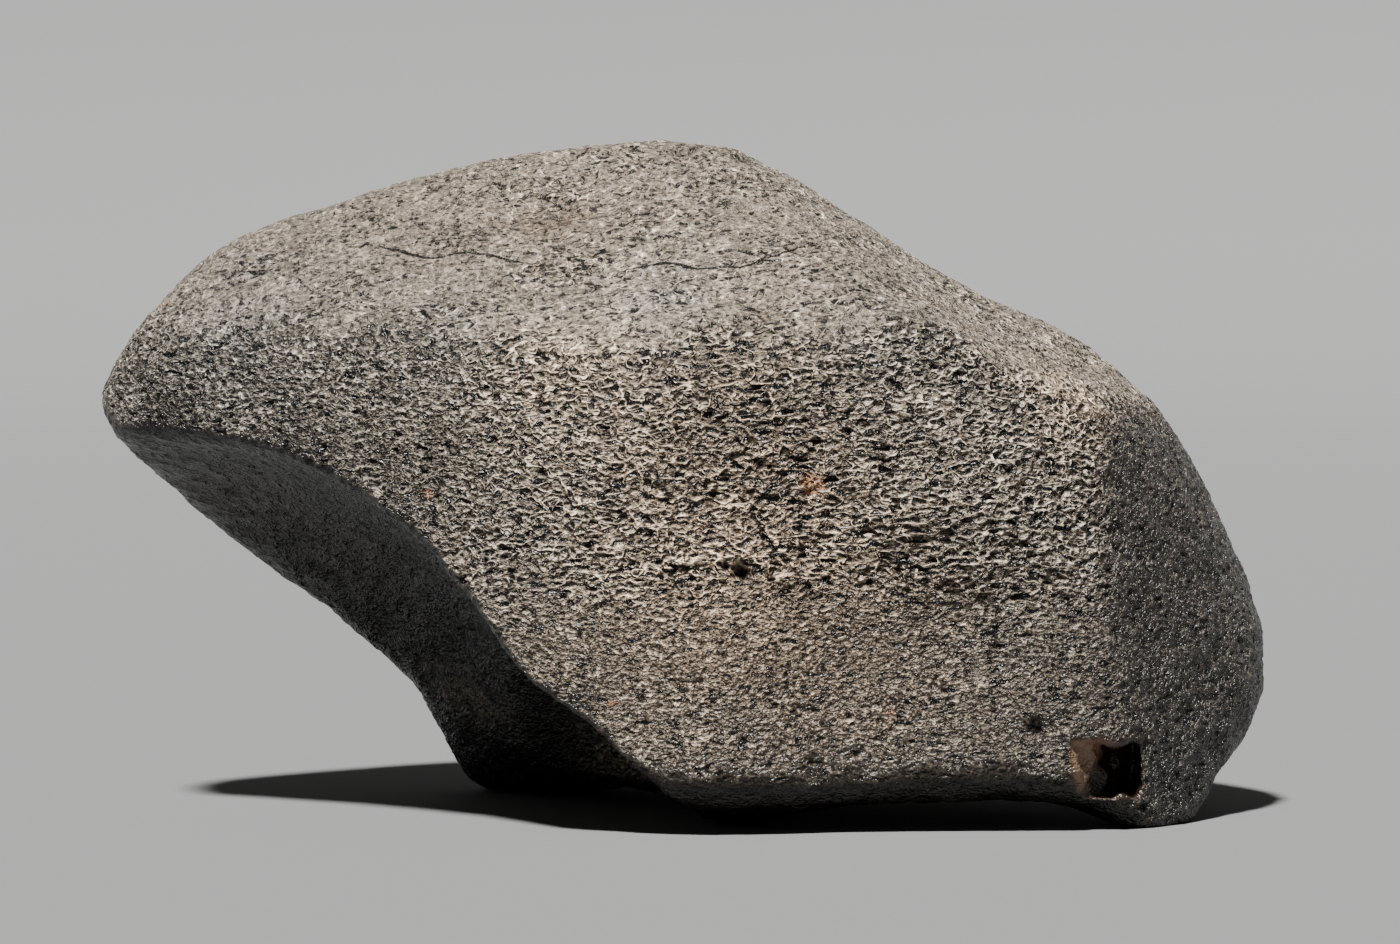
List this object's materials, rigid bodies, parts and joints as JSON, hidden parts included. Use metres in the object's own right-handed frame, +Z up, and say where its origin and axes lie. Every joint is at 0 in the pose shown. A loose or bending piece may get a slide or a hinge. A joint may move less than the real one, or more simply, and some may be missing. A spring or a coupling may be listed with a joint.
{
  "type": "chondrite meteorite",
  "caption": "Chondrite meteorite: a dark, angular stone under a rippled fusion crust, with a hollowed underside, resting on small worn spots as a display specimen",
  "frame": {"origin": "on the surface it rests on, under the middle of its bounding box", "axes": "+X along the stone from its overhanging nose to its cheek, +Y from its front face to its back, +Z up"},
  "size_m": [0.1095, 0.0652, 0.063],
  "materials": {
    "fusion_crust": "satin"
  },
  "bodies": {
    "root": {"meteorite": "fusion_crust"}
  },
  "joints": []
}
